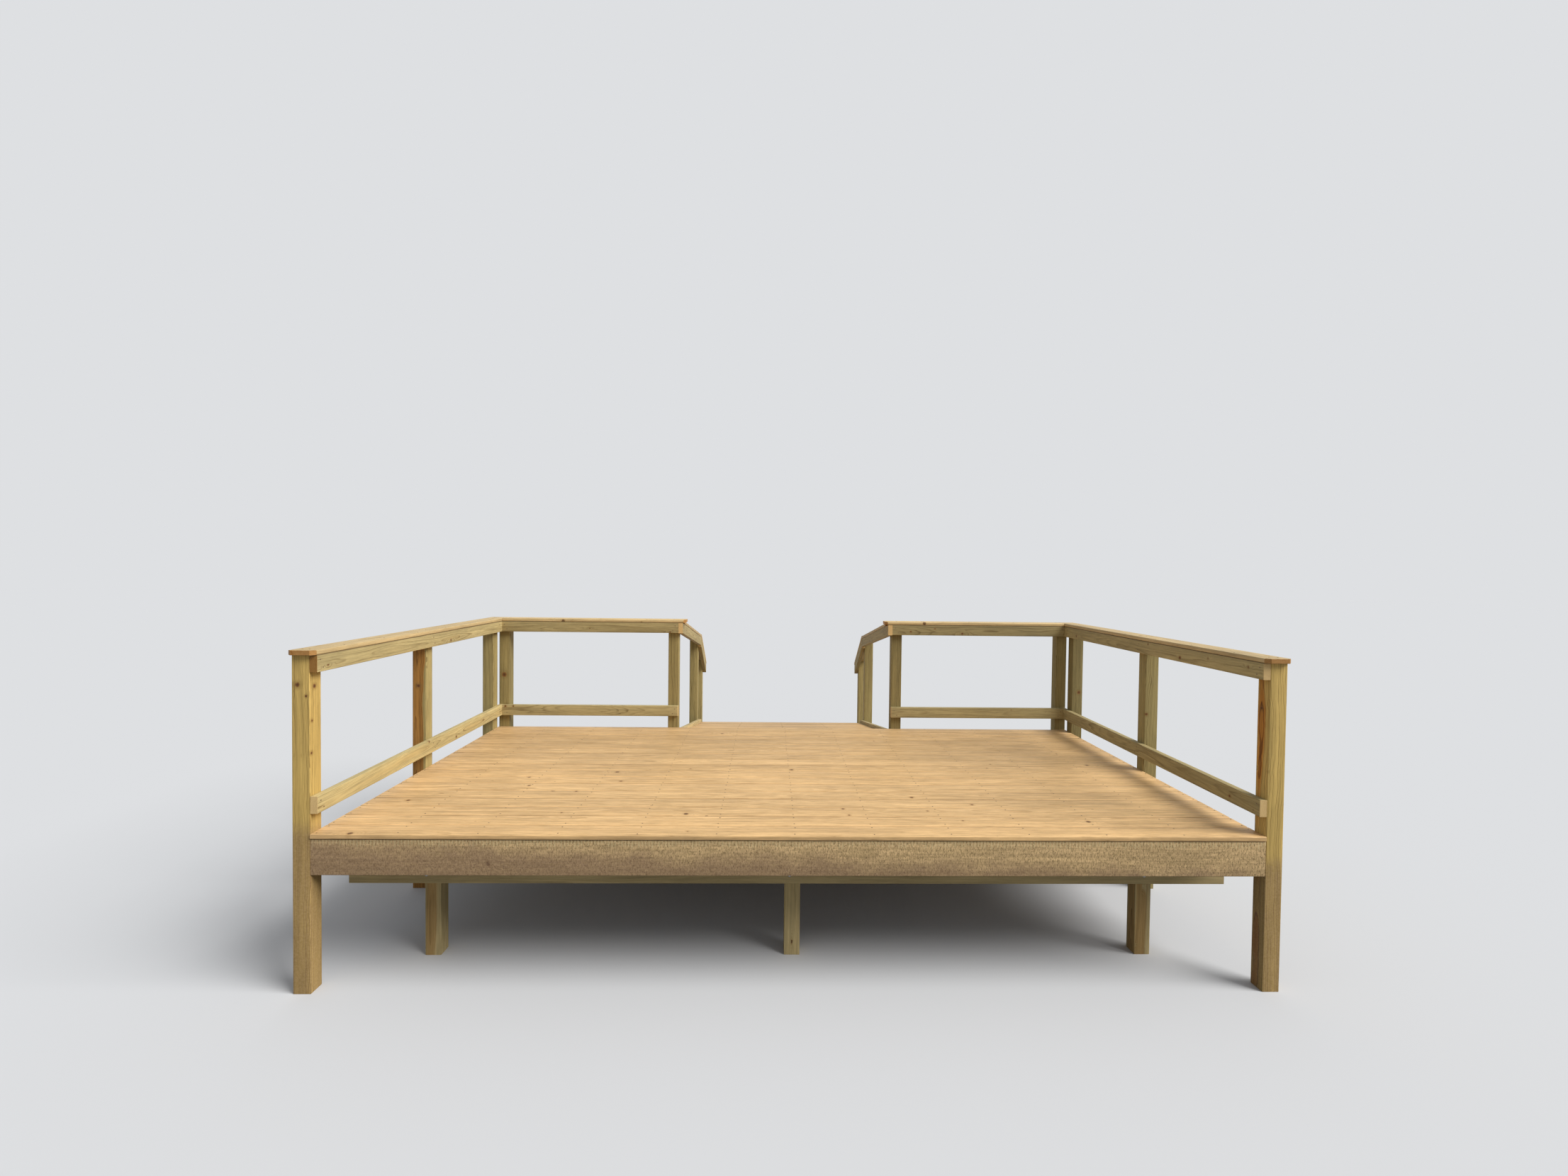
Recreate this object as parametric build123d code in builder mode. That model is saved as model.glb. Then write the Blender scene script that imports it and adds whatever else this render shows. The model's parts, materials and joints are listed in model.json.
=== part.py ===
from build123d import *
from math import atan2, cos, degrees, radians, tan

# A timber deck by a lake: boards on joists, a railing on three sides with an opening at the back,
# and a sloping walkway with handrails that ends in a short flight of steps.
# Millimetres. X runs along the boards, Y from the open front towards the lake, Z up from the ground.

# Sawn timber
post_side = 88.9
stock_thickness = 38.1
rail_depth = 88.9
rim_depth = 184.2
ramp_joist_depth = 139.7
curb_stock_depth = 184.2
stair_stock_depth = 285.8
header_depth = 285.8
board_width = 139.7
board_thickness = 25.4
cap_width = 139.7
cap_thickness = 25.4
board_edge_radius = 5.0
stock_edge_radius = 3.0

# Deck
deck_width = 4876.8
board_count = 17
board_gap = 4.0
front_overhang = 6.0
joist_spacing = 406.4
beam_setback = 400.0
leg_inset = 440.0

# Railing
rail_post_height = 901.7
lower_rail_height = 101.6
opening_width = 1828.8
cap_end_overhang = 25.4
cap_corner_clip = 22.2
handrail_cap_lip = 3.0

# Walkway and steps
step_down = 38.1
ramp_angle = 9.5
ramp_board_count = 12
ramp_nosing = 19.0
curb_height = 30.0
ramp_joist_count = 5
knee_post_lap = 25.4
riser_height = 165.1
tread_run = 266.7
tread_count = 2
tread_board_count = 2
side_clearance = 3.0
end_gap = 1.5

# Lengths along Y
board_pitch = board_width + board_gap
boards_depth = board_count * board_pitch - board_gap
frame_depth = boards_depth - front_overhang
ramp_slope = tan(radians(ramp_angle))
ramp_boards_length = ramp_board_count * board_pitch
ramp_run = ramp_boards_length * cos(radians(ramp_angle)) - ramp_nosing
stair_run = tread_count * tread_run
front_y = -(frame_depth + ramp_run + stair_run) / 2
back_y = front_y + frame_depth
ramp_end_y = back_y + ramp_run
foot_y = ramp_end_y + stair_run
knee_y = ramp_end_y + knee_post_lap - post_side

# Heights
stair_slope = riser_height / tread_run
stair_angle = degrees(atan2(riser_height, tread_run))
ramp_end_z = (tread_count + 1) * riser_height
deck_top = ramp_end_z + ramp_slope * ramp_run + step_down
frame_top = deck_top - board_thickness
frame_bottom = frame_top - rim_depth
post_top = deck_top + rail_post_height
handrail_start_y = back_y - stock_thickness
knee_z = post_top - ramp_slope * (knee_y - handrail_start_y)

# Places across X
deck_side = deck_width / 2
opening_side = opening_width / 2
stringer_inner = opening_side - stock_thickness
cap_inner_side = deck_side - stock_thickness


def save(piece, name):
    piece.label = name
    export_step(piece, f"parts/{name}.step")


def bar_along_x(x_start, x_end, y_mid, z_mid, depth_y, depth_z, radius):
    with BuildPart() as bar:
        with BuildSketch(Plane.YZ.offset(x_start)):
            with Locations((y_mid, z_mid)):
                RectangleRounded(depth_y, depth_z, radius)
        extrude(amount=x_end - x_start)
    return bar.part


def bar_along_y(y_start, y_end, x_mid, z_mid, width_x, depth_z, radius):
    with BuildPart() as bar:
        with BuildSketch(Plane.XZ.offset(-y_start)):
            with Locations((x_mid, z_mid)):
                RectangleRounded(width_x, depth_z, radius)
        extrude(amount=y_start - y_end)
    return bar.part


def standing_post(x_mid, y_mid, height):
    with BuildPart() as post:
        with BuildSketch(Plane.XY):
            with Locations((x_mid, y_mid)):
                RectangleRounded(post_side, post_side, stock_edge_radius)
        extrude(amount=height)
    return post.part


def post_with_sloped_top(x_mid, y_start, top_at_start):
    with BuildPart() as post:
        with BuildSketch(Plane.XY):
            with Locations((x_mid, y_start + post_side / 2)):
                RectangleRounded(post_side, post_side, stock_edge_radius)
        extrude(amount=top_at_start + post_side)
        slope_plane = Plane(origin=(0, y_start, top_at_start), x_dir=(1, 0, 0), z_dir=(0, stair_slope, 1))
        split(bisect_by=slope_plane, keep=Keep.BOTTOM)
    return post.part


def sloping_plank(x_mid, width_x, y_start, y_end, top_at_start, slope, depth):
    plumb_depth = depth / cos(atan2(slope, 1))
    top_at_end = top_at_start - slope * (y_end - y_start)
    with BuildPart() as plank:
        with BuildSketch(Plane.YZ.offset(x_mid - width_x / 2)):
            with BuildLine():
                Polyline(
                    (y_start, top_at_start),
                    (y_end, top_at_end),
                    (y_end, top_at_end - plumb_depth),
                    (y_start, top_at_start - plumb_depth),
                    close=True,
                )
            make_face()
        extrude(amount=width_x)
    return plank.part


def rounded_plank(x_mid, width_x, y_start, y_end, top_at_start, slope, depth, radius):
    with BuildPart() as plank:
        add(sloping_plank(x_mid, width_x, y_start, y_end, top_at_start, slope, depth))
        long_edges = plank.edges().filter_by(Axis((0, 0, 0), (0, 1, -slope)))
        fillet(long_edges, radius)
    return plank.part


def clip_corners(board, end_x, end_y, out_x, out_y):
    """Cuts both corners off the end of a cap board at 45 degrees; out_x, out_y point out of that end."""
    with BuildPart() as clipped:
        add(board)
        for side in (-1, 1):
            across_x, across_y = -side * out_y, side * out_x
            reach = cap_width / 2 - cap_corner_clip
            corner = (end_x + reach * across_x, end_y + reach * across_y, 0)
            split(bisect_by=Plane(origin=corner, z_dir=(out_x + across_x, out_y + across_y, 0)), keep=Keep.BOTTOM)
    return clipped.part


# Rim joists: a box of planks on edge that the posts are bolted to
rim_mid_z = frame_top - rim_depth / 2
for y_mid, name in ((front_y + stock_thickness / 2, "front"), (back_y - stock_thickness / 2, "back")):
    rim = bar_along_x(
        -deck_side, deck_side, y_mid, rim_mid_z, stock_thickness, rim_depth, stock_edge_radius
    )
    save(rim, f"{name}_rim")
joist_start_y = front_y + stock_thickness
joist_end_y = back_y - stock_thickness
for side, name in ((-1, "left"), (1, "right")):
    x_mid = side * (deck_side - stock_thickness / 2)
    side_rim = bar_along_y(
        joist_start_y, joist_end_y, x_mid, rim_mid_z, stock_thickness, rim_depth, stock_edge_radius
    )
    save(side_rim, f"{name}_side_rim")

# Floor joists from the front rim to the back rim, square-edged like the rest of the hidden framing
bay_count = round(deck_width / joist_spacing)
joist_pitch = (deck_width - stock_thickness) / bay_count
with BuildPart() as floor_joists:
    with BuildSketch(Plane.XZ.offset(-joist_start_y)):
        with Locations((0, rim_mid_z)):
            with GridLocations(joist_pitch, 0, bay_count - 1, 1):
                Rectangle(stock_thickness, rim_depth)
    extrude(amount=joist_start_y - joist_end_y)
save(floor_joists.part, "floor_joists")

# Front beam: a plank on each side of the legs, under the joists
leg_y = front_y + beam_setback
ply_offset = post_side + stock_thickness
with BuildPart() as front_beam:
    with BuildSketch(Plane.YZ.offset(-deck_side)):
        with Locations((leg_y, frame_bottom - rim_depth / 2)):
            with GridLocations(ply_offset, 0, 2, 1):
                Rectangle(stock_thickness, rim_depth)
    extrude(amount=deck_width)
save(front_beam.part, "front_beam")

outer_leg_x = deck_side - leg_inset
for leg_x, name in ((-outer_leg_x, "left"), (0, "middle"), (outer_leg_x, "right")):
    with BuildPart() as leg:
        with BuildSketch(Plane.XY):
            with Locations((leg_x, leg_y)):
                Rectangle(post_side, post_side)
        extrude(amount=frame_bottom)
    save(leg.part, f"{name}_front_leg")

# Deck boards with rounded edges, running the whole width
first_board_y = front_y - front_overhang + board_width / 2
with BuildPart() as deck_boards:
    with BuildSketch(Plane.YZ.offset(-deck_side)):
        for i in range(board_count):
            with Locations((first_board_y + i * board_pitch, deck_top - board_thickness / 2)):
                RectangleRounded(board_width, board_thickness, board_edge_radius)
    extrude(amount=deck_width)
save(deck_boards.part, "deck_boards")

# Railing posts: outside the side rims and behind the back rim, down to the ground
side_post_x = deck_side + post_side / 2
corner_post_x = deck_side - post_side / 2
opening_post_x = opening_side + post_side / 2
side_post_places = {
    "front": front_y + post_side / 2,
    "middle": front_y + frame_depth / 2,
    "rear": back_y - stock_thickness - post_side / 2,
}
back_post_y = back_y + post_side / 2
for side, name in ((-1, "left"), (1, "right")):
    for place, y_mid in side_post_places.items():
        save(standing_post(side * side_post_x, y_mid, post_top), f"{name}_{place}_post")
    save(standing_post(side * corner_post_x, back_post_y, post_top), f"{name}_corner_post")
    save(standing_post(side * opening_post_x, back_post_y, post_top), f"{name}_opening_post")

# Railing: an upper and a lower rail on edge against the posts, with a flat cap over them,
# whose free ends overhang and have their corners clipped
rail_heights = {
    "upper": post_top - rail_depth / 2,
    "lower": deck_top + lower_rail_height + rail_depth / 2,
}
back_rail_y = back_y - stock_thickness / 2
cap_mid_z = post_top + cap_thickness / 2
cap_back_y = back_y - stock_thickness + cap_width
back_cap_y = cap_back_y - cap_width / 2
back_cap_end = stringer_inner - cap_end_overhang
side_cap_start_y = front_y - cap_end_overhang
for side, name in ((-1, "left"), (1, "right")):
    side_rail_x = side * (deck_side - stock_thickness / 2)
    side_cap_x = side * (cap_inner_side + cap_width / 2)
    rail_start, rail_end = sorted((side * opening_side, side * cap_inner_side))
    cap_start, cap_end = sorted((side * back_cap_end, side * cap_inner_side))
    for level, z_mid in rail_heights.items():
        side_rail = bar_along_y(
            front_y, back_y, side_rail_x, z_mid, stock_thickness, rail_depth, stock_edge_radius
        )
        save(side_rail, f"{name}_{level}_rail")
        back_rail = bar_along_x(
            rail_start, rail_end, back_rail_y, z_mid, stock_thickness, rail_depth, stock_edge_radius
        )
        save(back_rail, f"back_{name}_{level}_rail")
    side_cap = bar_along_y(
        side_cap_start_y, cap_back_y, side_cap_x, cap_mid_z, cap_width, cap_thickness, board_edge_radius
    )
    save(clip_corners(side_cap, side_cap_x, side_cap_start_y, 0, -1), f"{name}_cap")
    back_cap = bar_along_x(
        cap_start, cap_end, back_cap_y, cap_mid_z, cap_width, cap_thickness, board_edge_radius
    )
    save(clip_corners(back_cap, side * back_cap_end, back_cap_y, -side, 0), f"back_{name}_cap")

# Posts of the walkway's handrails: at the knee and at the foot of the steps
foot_post_y = foot_y - post_side
foot_post_z = knee_z - stair_slope * (foot_post_y - knee_y)
for side, name in ((-1, "left"), (1, "right")):
    save(post_with_sloped_top(side * opening_post_x, knee_y, knee_z), f"{name}_knee_post")
    save(post_with_sloped_top(side * opening_post_x, foot_post_y, foot_post_z), f"{name}_foot_post")

# Handrails: a rail on edge inside the posts and a flat cap, bent at the knee post
ramp_cap_start_y = cap_back_y + end_gap
ramp_cap_start_z = post_top - ramp_slope * (ramp_cap_start_y - handrail_start_y)
stair_rail_start_y = knee_y + end_gap
stair_rail_start_z = knee_z - stair_slope * end_gap
ramp_cap_lift = cap_thickness / cos(radians(ramp_angle))
stair_cap_lift = cap_thickness / cos(radians(stair_angle))
stair_cap_end_y = foot_y + cap_end_overhang
for side, name in ((-1, "left"), (1, "right")):
    handrail_x = side * (opening_side - stock_thickness / 2)
    handrail_cap_x = side * (stringer_inner - handrail_cap_lip + cap_width / 2)
    ramp_rail = rounded_plank(
        handrail_x, stock_thickness, handrail_start_y, knee_y,
        post_top, ramp_slope, rail_depth, stock_edge_radius,
    )
    stair_rail = rounded_plank(
        handrail_x, stock_thickness, stair_rail_start_y, foot_y,
        stair_rail_start_z, stair_slope, rail_depth, stock_edge_radius,
    )
    with BuildPart() as handrail:
        add(ramp_rail)
        add(stair_rail)
    save(handrail.part, f"{name}_handrail")
    ramp_cap = rounded_plank(
        handrail_cap_x, cap_width, ramp_cap_start_y, knee_y,
        ramp_cap_start_z + ramp_cap_lift, ramp_slope, cap_thickness, board_edge_radius,
    )
    stair_cap = rounded_plank(
        handrail_cap_x, cap_width, stair_rail_start_y, stair_cap_end_y,
        stair_rail_start_z + stair_cap_lift, stair_slope, cap_thickness, board_edge_radius,
    )
    with BuildPart() as handrail_cap:
        add(ramp_cap)
        add(clip_corners(stair_cap, handrail_cap_x, stair_cap_end_y, 0, 1))
    save(handrail_cap.part, f"{name}_handrail_cap")

# Ramp: joists under boards, between two side planks that stand up as a low curb
ramp_start_z = deck_top - step_down
ramp_cos = cos(radians(ramp_angle))
ramp_underside_z = ramp_start_z - board_thickness / ramp_cos
header_front_y = ramp_end_y - stock_thickness
ramp_joist_reach = stringer_inner - stock_thickness / 2
ramp_joist_pitch = 2 * ramp_joist_reach / (ramp_joist_count - 1)
with BuildPart() as ramp_joists:
    for i in range(ramp_joist_count):
        joist_x = -ramp_joist_reach + i * ramp_joist_pitch
        add(
            sloping_plank(
                joist_x, stock_thickness, back_y, header_front_y,
                ramp_underside_z, ramp_slope, ramp_joist_depth,
            )
        )
save(ramp_joists.part, "ramp_joists")

header_top = ramp_underside_z - ramp_slope * ramp_run
with BuildPart() as ramp_header:
    with BuildSketch(Plane.YZ.offset(-stringer_inner)):
        with Locations((ramp_end_y - stock_thickness / 2, header_top - header_depth / 2)):
            Rectangle(stock_thickness, header_depth)
    extrude(amount=2 * stringer_inner)
save(ramp_header.part, "ramp_header")

ramp_plane = Plane(origin=(0, back_y, ramp_start_z), x_dir=(0, 1, -ramp_slope), z_dir=(1, 0, 0))
first_ramp_board = board_gap + board_width / 2
ramp_board_length = 2 * (stringer_inner - side_clearance)
with BuildPart() as ramp_boards:
    with BuildSketch(ramp_plane.offset(-ramp_board_length / 2)):
        for i in range(ramp_board_count):
            with Locations((first_ramp_board + i * board_pitch, -board_thickness / 2)):
                RectangleRounded(board_width, board_thickness, board_edge_radius)
    extrude(amount=ramp_board_length)
save(ramp_boards.part, "ramp_boards")

# Steps: stringers cut to the treads, standing on the ground
tread_seat = board_thickness
lower_edge_drop = stair_stock_depth / cos(radians(stair_angle)) + tread_seat
ground_contact_y = ramp_end_y + (ramp_end_z - lower_edge_drop) / stair_slope
cut_points = [(ramp_end_y, ramp_end_z - riser_height - tread_seat)]
for i in range(1, tread_count + 1):
    cut_points.append((ramp_end_y + i * tread_run, ramp_end_z - i * riser_height - tread_seat))
    last_cut = i == tread_count
    next_seat = 0 if last_cut else ramp_end_z - (i + 1) * riser_height - tread_seat
    cut_points.append((ramp_end_y + i * tread_run, next_seat))
cut_points.append((ground_contact_y, 0))
cut_points.append((ramp_end_y, ramp_end_z - lower_edge_drop))


def stair_stringer(x_mid):
    with BuildPart() as stringer:
        with BuildSketch(Plane.YZ.offset(x_mid - stock_thickness / 2)):
            with BuildLine():
                Polyline(*cut_points, close=True)
            make_face()
        extrude(amount=stock_thickness)
    return stringer.part


curb_top_z = ramp_start_z + curb_height / ramp_cos
for side, name in ((-1, "left"), (1, "right")):
    stringer_x = side * (opening_side - stock_thickness / 2)
    curb_plank = rounded_plank(
        stringer_x, stock_thickness, back_y, ramp_end_y,
        curb_top_z, ramp_slope, curb_stock_depth, stock_edge_radius,
    )
    with BuildPart() as stringers:
        add(curb_plank)
        add(stair_stringer(stringer_x))
    save(stringers.part, f"{name}_stringers")
save(stair_stringer(0), "middle_stringer")

# Treads: two boards each, with their front edge past the stringers' cuts
with BuildPart() as stair_treads:
    with BuildSketch(Plane.YZ.offset(-opening_side)):
        for i in range(tread_count):
            tread_z = ramp_end_z - (i + 1) * riser_height - board_thickness / 2
            for j in range(tread_board_count):
                tread_y = ramp_end_y + i * tread_run + end_gap + board_width / 2 + j * board_pitch
                with Locations((tread_y, tread_z)):
                    RectangleRounded(board_width, board_thickness, board_edge_radius)
    extrude(amount=opening_width)
save(stair_treads.part, "stair_treads")
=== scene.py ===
import json
import math
import random

import bmesh
import bpy
from mathutils import Matrix, Vector, noise

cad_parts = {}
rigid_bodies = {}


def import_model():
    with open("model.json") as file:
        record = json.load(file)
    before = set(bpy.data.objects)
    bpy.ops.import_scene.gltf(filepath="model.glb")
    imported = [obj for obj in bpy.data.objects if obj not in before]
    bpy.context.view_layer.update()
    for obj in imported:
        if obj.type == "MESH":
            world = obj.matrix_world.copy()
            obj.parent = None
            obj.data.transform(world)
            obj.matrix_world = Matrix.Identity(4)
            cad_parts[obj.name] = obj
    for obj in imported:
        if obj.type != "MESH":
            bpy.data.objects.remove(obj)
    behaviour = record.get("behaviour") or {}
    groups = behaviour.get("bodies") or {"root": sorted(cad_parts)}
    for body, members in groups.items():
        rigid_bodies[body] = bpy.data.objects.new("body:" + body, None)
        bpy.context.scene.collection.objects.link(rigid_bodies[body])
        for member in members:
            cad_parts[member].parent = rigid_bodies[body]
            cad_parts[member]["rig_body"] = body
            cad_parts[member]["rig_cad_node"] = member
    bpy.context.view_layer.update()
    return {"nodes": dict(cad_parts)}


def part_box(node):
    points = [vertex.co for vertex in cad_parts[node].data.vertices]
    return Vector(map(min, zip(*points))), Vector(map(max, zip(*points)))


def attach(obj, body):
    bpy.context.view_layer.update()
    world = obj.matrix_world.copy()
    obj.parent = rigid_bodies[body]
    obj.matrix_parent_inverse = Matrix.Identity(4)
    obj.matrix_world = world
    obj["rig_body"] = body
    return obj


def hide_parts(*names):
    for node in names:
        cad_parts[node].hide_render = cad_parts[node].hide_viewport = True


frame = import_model()
bpy.ops.object.select_all(action="DESELECT")
dice = random.Random(16)

# Camera: a wide lens about eye height above the boards and 3.5 m before the open front.
# It stands a little left of the middle, turned slightly right, tipped down and held a touch askew.
front_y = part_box("front_rim")[0].y
deck_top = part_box("deck_boards")[1].z
camera_left_of_middle = 0.153
camera_before_front = 3.488
camera_above_deck = 1.3405
camera_turn = 0.0226
camera_tip = 0.0227
camera_askew = -0.0114
focal_pixels = 974.0
photo_width_pixels = 2212
camera_data = bpy.data.cameras.new("camera")
camera_data.sensor_width = 36.0
camera_data.lens = focal_pixels / photo_width_pixels * camera_data.sensor_width
camera = bpy.data.objects.new("camera", camera_data)
bpy.context.scene.collection.objects.link(camera)
bpy.context.scene.camera = camera
ahead = Vector((math.sin(camera_turn) * math.cos(camera_tip),
                math.cos(camera_turn) * math.cos(camera_tip), -math.sin(camera_tip)))
level_right = Vector((math.cos(camera_turn), -math.sin(camera_turn), 0))
level_up = level_right.cross(ahead)
tilted_right = level_right * math.cos(camera_askew) - level_up * math.sin(camera_askew)
tilted_up = tilted_right.cross(ahead)
camera.matrix_world = Matrix((tilted_right, tilted_up, -ahead)).transposed().to_4x4()
camera.location = (-camera_left_of_middle, front_y - camera_before_front, deck_top + camera_above_deck)

# Front legs: three short 4x4 posts of treated pine, bolted to the front beam that they carry.
# Each timber is a planed bar with eased edges, cut to length; its pattern grows from the tree's own rings.
post_side = 0.0889
eased_edge = 0.003
bow = 0.0006
bows_per_metre = 1.3
bow_variety = 97
dried_in = 0.4
cut_spacing = 0.12


def planed_bar(name, length, width, depth, edge):
    """A straight bar along X from 0 to length, its long edges rounded, with cross cuts at even spacing."""
    bpy.ops.object.select_all(action="DESELECT")
    bpy.ops.mesh.primitive_cube_add(size=1, location=(length / 2, 0, 0))
    bar = bpy.context.active_object
    bar.name = name
    bar.scale = (length, width, depth)
    bpy.ops.object.transform_apply(location=True, rotation=False, scale=True)
    bpy.ops.object.mode_set(mode="EDIT")
    bpy.ops.mesh.select_mode(type="EDGE")
    mesh = bmesh.from_edit_mesh(bar.data)

    def select_long_edges():
        for part in (mesh.verts, mesh.edges, mesh.faces):
            for item in part:
                item.select_set(False)
        for line in mesh.edges:
            if abs(line.verts[0].co.x - line.verts[1].co.x) > length / 2:
                line.select_set(True)
        bmesh.update_edit_mesh(bar.data)

    select_long_edges()
    bpy.ops.mesh.bevel(offset=edge, segments=3, profile=0.5, affect="EDGES")
    mesh = bmesh.from_edit_mesh(bar.data)
    for line in mesh.edges:
        at_end = all(min(v.co.x, length - v.co.x) < eased_edge / 10 for v in line.verts)
        line.select_set(at_end)
    bmesh.update_edit_mesh(bar.data)
    bpy.ops.mesh.bevel(offset=edge / 4, segments=1, affect="EDGES")
    mesh = bmesh.from_edit_mesh(bar.data)
    select_long_edges()
    bpy.ops.mesh.subdivide(number_cuts=max(1, round(length / cut_spacing)))
    bpy.ops.object.mode_set(mode="OBJECT")
    return bar


def take_up(*pieces):
    """Selects just these pieces, with the first of them as the active one."""
    bpy.ops.object.select_all(action="DESELECT")
    for piece in pieces:
        piece.select_set(True)
    bpy.context.view_layer.objects.active = pieces[0]


def saw_off(bar, point, outward):
    """Saws away what lies beyond the point, in the direction of outward, and closes the cut."""
    take_up(bar)
    bpy.ops.object.mode_set(mode="EDIT")
    bpy.ops.mesh.select_all(action="SELECT")
    bpy.ops.mesh.bisect(plane_co=point, plane_no=outward, use_fill=True, clear_outer=True)
    bpy.ops.object.mode_set(mode="OBJECT")


def set_in_place(bar, start, grain, across, pith, tone=None, bowed=bow):
    """Writes where the wood lay in its tree, bows the bar a little and lays it along grain from start."""
    tone = dice.random() if tone is None else tone
    tree_shift = dice.uniform(-40, 40)
    mesh = bar.data
    along = Vector(grain).normalized()
    sideways = Vector(across).normalized()
    place = Matrix((along, sideways, along.cross(sideways))).transposed()
    mesh.attributes.new("in_tree", "FLOAT_VECTOR", "POINT")
    mesh.attributes.new("tone", "FLOAT", "POINT")
    mesh.attributes.new("end_grain", "FLOAT", "FACE")
    in_tree, tones, end_grain = (mesh.attributes[word] for word in ("in_tree", "tone", "end_grain"))
    for face in mesh.polygons:
        end_grain.data[face.index].value = 1.0 if abs(face.normal.x) > 0.6 else 0.0
    half_width = max(abs(v.co.y) for v in mesh.vertices)
    half_depth = max(abs(v.co.z) for v in mesh.vertices)
    for v in mesh.vertices:
        in_tree.data[v.index].vector = v.co + Vector((tree_shift, -pith[0], -pith[1]))
        tones.data[v.index].value = tone
        sag = noise.noise_vector(Vector((v.co.x * bows_per_metre + tree_shift, tone * bow_variety, 0)))
        moved_y = v.co.y + bowed * (sag.y - dried_in * v.co.y / half_width)
        moved_z = v.co.z + bowed * (sag.z - dried_in * v.co.z / half_depth)
        v.co.y = max(-half_width, min(half_width, moved_y))
        v.co.z = max(-half_depth, min(half_depth, moved_z))
    mesh.transform(Matrix.Translation(Vector(start)) @ place.to_4x4())
    return bar


def fix_to_deck(piece, finish, slot_name, *nodes):
    """Gives a piece its finish, smooths its rounded edges and puts it in the place of its plain solids."""
    piece.data.materials.clear()
    piece.data.materials.append(finish)
    take_up(piece)
    bpy.ops.object.shade_smooth_by_angle(angle=math.radians(40))
    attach(piece, "root")
    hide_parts(*nodes)


def feed(tree, socket, value):
    """Gives an input of a step a number, a colour or what another step gives."""
    value = getattr(value, "socket", value)
    if isinstance(value, bpy.types.NodeSocket):
        tree.links.new(value, socket)
    else:
        socket.default_value = (*value, 1.0) if socket.type == "RGBA" else value


class Reading:
    """A number that a finish works out at each spot; sums with it add steps to the finish's tree."""

    def __init__(self, tree, socket):
        self.tree = tree
        self.socket = socket

    def step(self, operation, *others):
        return reckon(self.tree, operation, self, *others)

    def rise(self, start, end, low=0.0, high=1.0):
        """A smooth rise from low at start to high at end."""
        step = self.tree.nodes.new("ShaderNodeMapRange")
        step.interpolation_type = "SMOOTHSTEP"
        feed(self.tree, step.inputs["Value"], self)
        for name, number in (("From Min", start), ("From Max", end), ("To Min", low), ("To Max", high)):
            step.inputs[name].default_value = number
        return Reading(self.tree, step.outputs["Result"])

    def __add__(self, other):
        return self.step("ADD", other)

    def __sub__(self, other):
        return self.step("SUBTRACT", other)

    def __rsub__(self, other):
        return reckon(self.tree, "SUBTRACT", other, self)

    def __mul__(self, other):
        return self.step("MULTIPLY", other)

    def __truediv__(self, other):
        return self.step("DIVIDE", other)


def reckon(tree, operation, *values):
    step = tree.nodes.new("ShaderNodeMath")
    step.operation = operation
    for socket, value in zip(step.inputs, values):
        feed(tree, socket, value)
    return Reading(tree, step.outputs[0])


def stain(tree, share, colour, other, blend="MIX"):
    """Lays other over colour by share; blend says how the two mix."""
    step = tree.nodes.new("ShaderNodeMix")
    step.data_type = "RGBA"
    step.blend_type = blend
    for socket, value in zip((step.inputs["Factor"], step.inputs[6], step.inputs[7]), (share, colour, other)):
        feed(tree, socket, value)
    return step.outputs[2]


def point_at(tree, x, y, z):
    step = tree.nodes.new("ShaderNodeCombineXYZ")
    for socket, value in zip(step.inputs, (x, y, z)):
        feed(tree, socket, value)
    return step.outputs[0]


def numbers_in(tree, vector, kind="XYZ"):
    """The three numbers of a place, or of a colour."""
    step = tree.nodes.new("ShaderNodeSeparate" + kind)
    feed(tree, step.inputs[0], vector)
    return [Reading(tree, number) for number in step.outputs[:3]]


def cloud(tree, vector, detail=2.0, roughness=0.5, dimensions="3D", output="Fac"):
    """Soft noise over the given coordinates, about 0.5 on average."""
    step = tree.nodes.new("ShaderNodeTexNoise")
    step.noise_dimensions = dimensions
    step.inputs["Scale"].default_value = 1.0
    step.inputs["Detail"].default_value = detail
    step.inputs["Roughness"].default_value = roughness
    feed(tree, step.inputs["W" if dimensions == "1D" else "Vector"], vector)
    return Reading(tree, step.outputs[output])


def scatter(tree, vector, dimensions="2D"):
    """Points strewn at random: how far the nearest one is, where it lies, and three lots drawn for it."""
    step = tree.nodes.new("ShaderNodeTexVoronoi")
    step.voronoi_dimensions = dimensions
    step.inputs["Scale"].default_value = 1.0
    feed(tree, step.inputs["Vector"], vector)
    where_it_lies = numbers_in(tree, step.outputs["Position"])
    lots = numbers_in(tree, step.outputs["Color"], "Color")
    return Reading(tree, step.outputs["Distance"]), where_it_lies, lots


def lot_of(tree, number):
    """A number from 0 to 1 drawn by lot for each whole number."""
    step = tree.nodes.new("ShaderNodeTexWhiteNoise")
    step.noise_dimensions = "1D"
    feed(tree, step.inputs["W"], number.step("FLOOR"))
    return Reading(tree, step.outputs["Value"])


def written_on_wood(tree, name, output="Fac"):
    step = tree.nodes.new("ShaderNodeAttribute")
    step.attribute_name = name
    return Reading(tree, step.outputs[output])


def new_material(name):
    material = bpy.data.materials.new(name)
    material.use_nodes = True
    return material, material.node_tree, material.node_tree.nodes["Principled BSDF"]


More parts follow.
